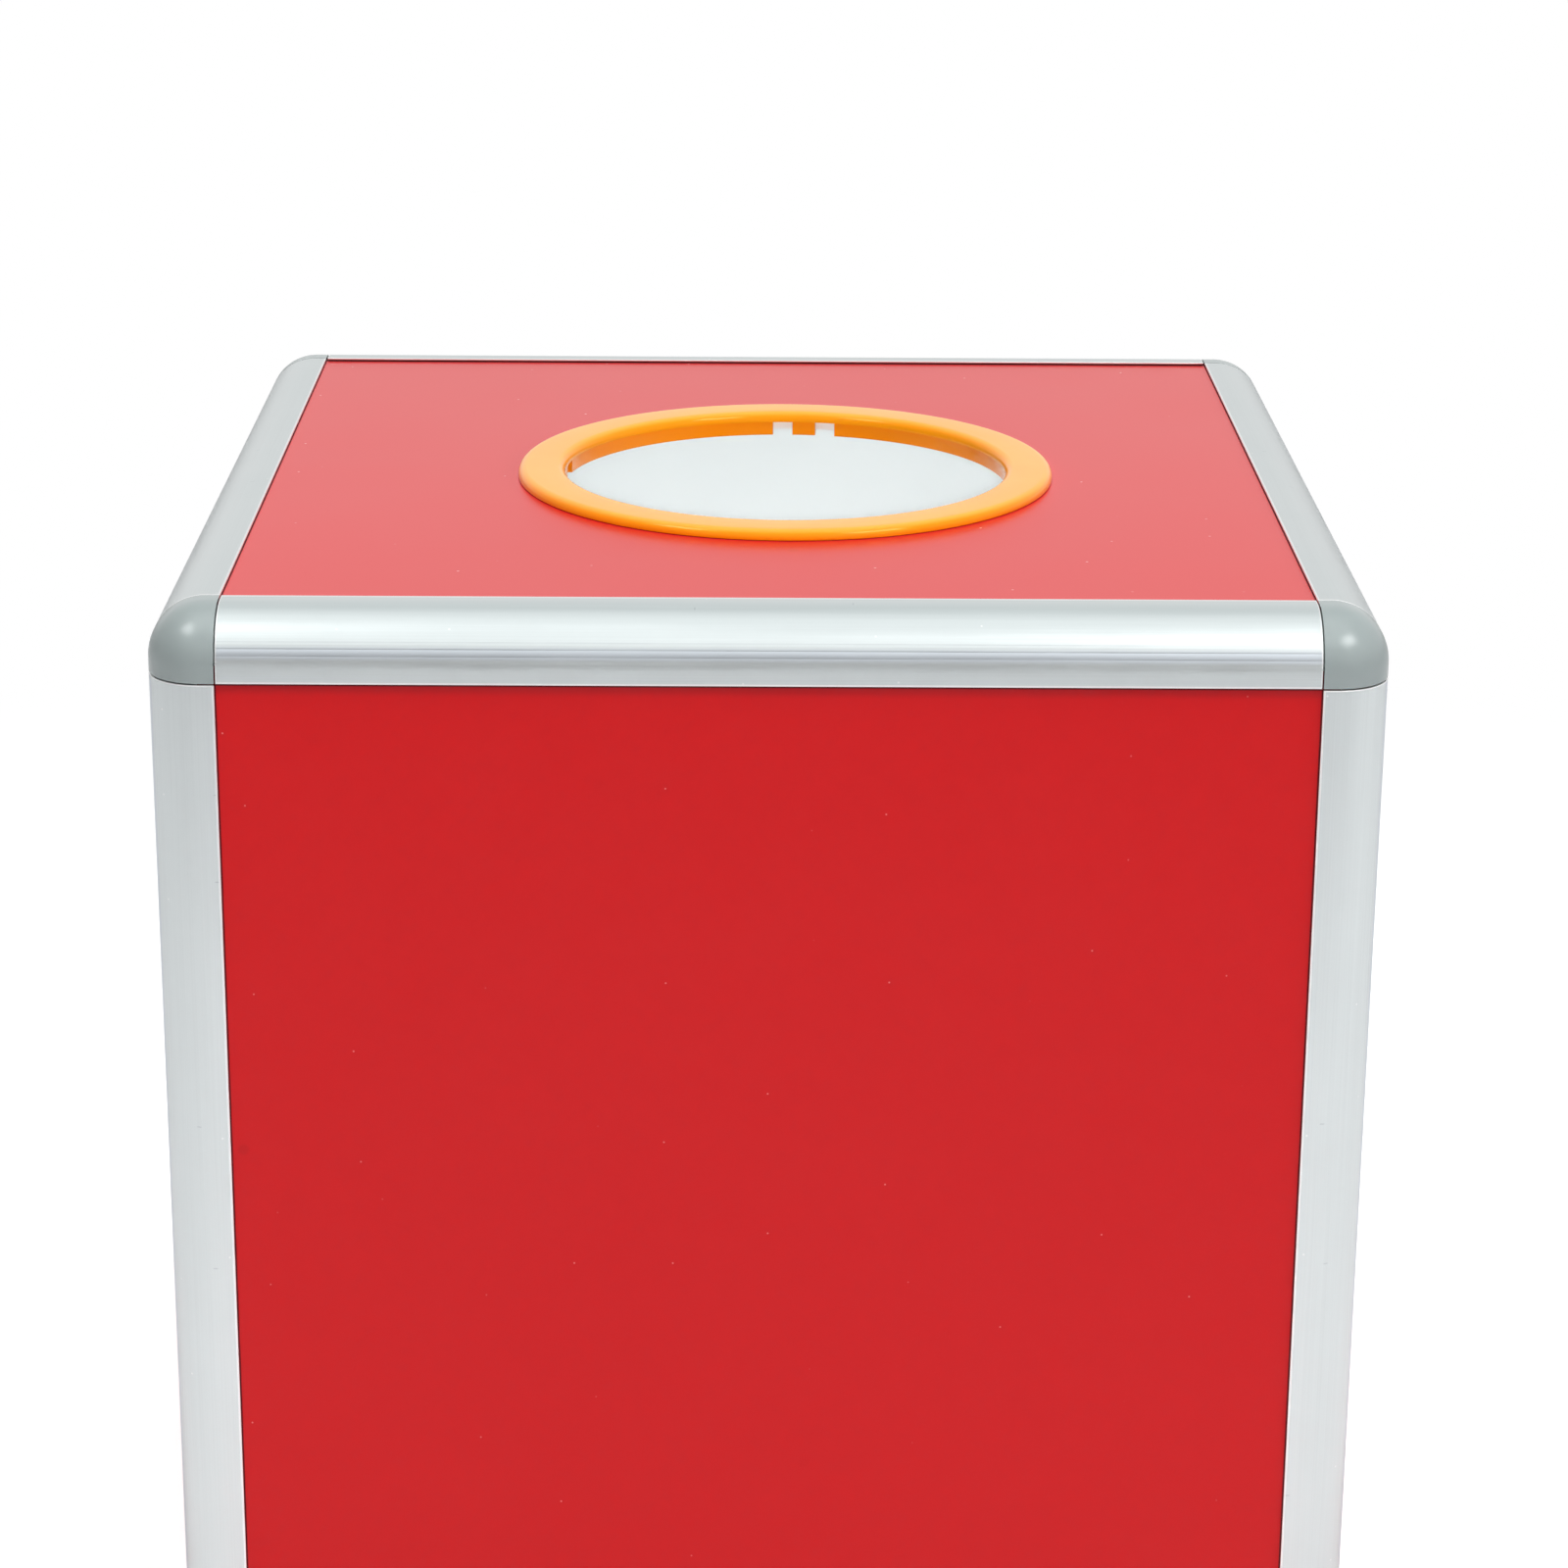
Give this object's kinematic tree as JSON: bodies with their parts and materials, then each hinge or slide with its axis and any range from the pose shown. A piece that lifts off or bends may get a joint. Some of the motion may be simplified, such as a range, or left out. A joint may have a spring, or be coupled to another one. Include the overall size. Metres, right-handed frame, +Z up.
{
  "type": "raffle box",
  "caption": "Cube-shaped draw box of red panels held in a rounded aluminium rail frame with grey corner connectors, and a ringed hand hole in the top.",
  "frame": {"origin": "the middle of the square that the box stands on, at the undersides of the bottom rails", "axes": "+Z up out of the hand hole, the front panel faces -Y, +X to the right as seen from the front"},
  "size_m": [0.25, 0.25, 0.2516],
  "materials": {
    "satin_aluminium": "satin anodised extrusion with fine lengthwise lines",
    "grey_plastic": "moulded grey plastic with a soft gloss",
    "red_board": "smooth red sheet with a low sheen outside, white inside",
    "orange_plastic": "glossy moulded orange plastic"
  },
  "bodies": {
    "root": {"front_top_rail": "satin_aluminium", "back_top_rail": "satin_aluminium", "left_top_rail": "satin_aluminium", "right_top_rail": "satin_aluminium", "front_bottom_rail": "satin_aluminium", "back_bottom_rail": "satin_aluminium", "left_bottom_rail": "satin_aluminium", "right_bottom_rail": "satin_aluminium", "front_left_post": "satin_aluminium", "front_right_post": "satin_aluminium", "back_left_post": "satin_aluminium", "back_right_post": "satin_aluminium", "front_left_top_connector": "grey_plastic", "front_right_top_connector": "grey_plastic", "back_left_top_connector": "grey_plastic", "back_right_top_connector": "grey_plastic", "front_left_bottom_connector": "grey_plastic", "front_right_bottom_connector": "grey_plastic", "back_left_bottom_connector": "grey_plastic", "back_right_bottom_connector": "grey_plastic", "front_panel": "red_board", "back_panel": "red_board", "left_panel": "red_board", "right_panel": "red_board", "top_panel": "red_board", "bottom_panel": "red_board", "hole_ring": "orange_plastic"}
  },
  "joints": []
}
